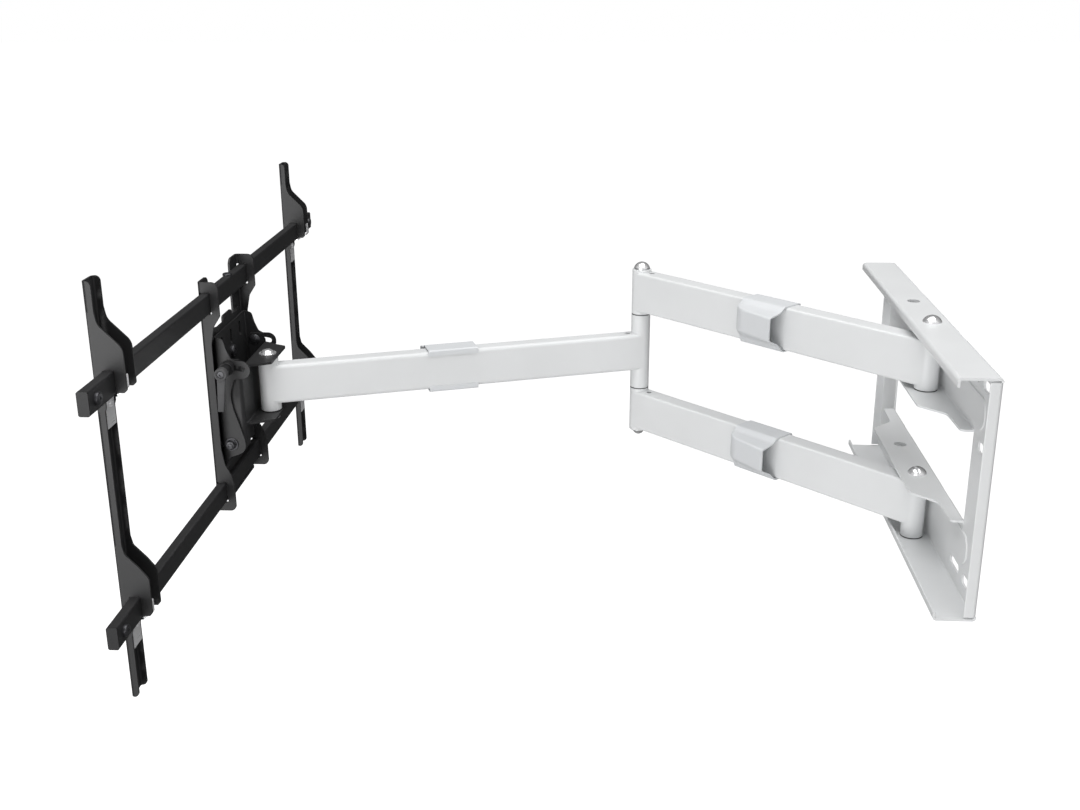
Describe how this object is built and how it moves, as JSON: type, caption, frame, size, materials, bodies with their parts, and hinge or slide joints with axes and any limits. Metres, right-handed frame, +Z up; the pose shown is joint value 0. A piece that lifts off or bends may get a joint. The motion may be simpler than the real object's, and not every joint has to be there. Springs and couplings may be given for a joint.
{
  "type": "long-reach tv wall arm",
  "caption": "Full-motion wall arm for a television: folded wall plate, paired rear arms, single front arm, swivel and tilt head, and a rail frame with sliding screen brackets.",
  "frame": {"origin": "centre of the wall plate on the wall plane", "axes": "+X along the wall, +Y into the wall, +Z up; the arm reaches out toward -Y"},
  "size_m": [0.8826, 0.8573, 0.4394],
  "materials": {
    "white_paint": "satin powder coat",
    "white_plastic": "satin",
    "dark_paint": "satin powder coat",
    "chrome": "polished",
    "zinc": "zinc plated",
    "black_steel": "black plated",
    "black_plastic": "matte"
  },
  "bodies": {
    "wall": {"wall_plate": "white_paint", "wall_bolt_upper": "chrome", "wall_bolt_lower": "chrome", "wall_nut_upper": "zinc", "wall_nut_lower": "zinc"},
    "rear_arms": {"rear_arm_upper": "white_paint", "rear_arm_lower": "white_paint", "wall_bushes": "black_plastic", "elbow_bolt": "zinc", "elbow_cap": "chrome", "elbow_dome_nut": "chrome", "elbow_washers": "zinc", "cable_clip_upper": "white_plastic", "cable_clip_lower": "white_plastic"},
    "front_arm": {"front_arm": "white_paint", "elbow_bushes": "black_plastic", "head_bushes": "black_plastic", "cable_clip_front": "white_plastic"},
    "head": {"yoke": "dark_paint", "head_bolt": "chrome", "head_nut": "zinc", "tilt_pivot_bolts": "black_steel", "tilt_pivot_nuts": "black_steel", "friction_washers": "black_plastic", "clamp_bolt_near": "black_steel", "clamp_bolt_far": "black_steel", "clamp_boss": "black_plastic", "lock_nut": "black_steel"},
    "lever": {"clamp_lever": "black_plastic", "lever_screw": "black_steel"},
    "screen_frame": {"tilt_bracket": "dark_paint", "levelling_plate": "dark_paint", "levelling_bolt": "black_steel", "frame_screws": "black_steel", "centre_bracket_near": "dark_paint", "centre_bracket_far": "dark_paint", "rail_upper": "dark_paint", "rail_lower": "dark_paint", "rail_end_caps": "black_plastic", "stop_screws": "black_steel", "rail_lock_screws": "black_steel", "rail_clamp_plate": "dark_paint"},
    "bracket_near": {"screen_bracket_near": "dark_paint", "locking_clips_near": "zinc", "locking_screws_near": "zinc"},
    "bracket_far": {"screen_bracket_far": "dark_paint", "locking_clips_far": "zinc", "locking_screws_far": "zinc"}
  },
  "joints": [
    {"name": "wall_swivel", "type": "hinge", "parent": "wall", "child": "rear_arms", "pos_m": [0.0455, -0.0212, 0], "axis": [0, 0, 1], "range_deg": [-43, 123]},
    {"name": "elbow_swivel", "type": "hinge", "parent": "rear_arms", "child": "front_arm", "pos_m": [-0.26387, -0.32842, 0], "axis": [0, 0, -1], "range_deg": [-85, 190]},
    {"name": "head_swivel", "type": "hinge", "parent": "front_arm", "child": "head", "pos_m": [-0.09799, -0.79427, 0], "axis": [0, 0, 1], "range_deg": [-68, 107]},
    {"name": "tilt", "type": "hinge", "parent": "head", "child": "screen_frame", "pos_m": [-0.09799, -0.82897, -0.0586], "axis": [1, 0, 0], "range_deg": [-3, 10]},
    {"name": "lever_turn", "type": "hinge", "parent": "head", "child": "lever", "pos_m": [-0.01179, -0.82597, 0.0395], "axis": [1, 0, 0], "range_deg": [-15, 150]},
    {"name": "near_slide", "type": "slide", "parent": "screen_frame", "child": "bracket_near", "axis": [1, 0, 0], "range_m": [-0.2703, 0.0389]},
    {"name": "far_slide", "type": "slide", "parent": "screen_frame", "child": "bracket_far", "axis": [-1, 0, 0], "range_m": [-0.2703, 0.0389]}
  ]
}
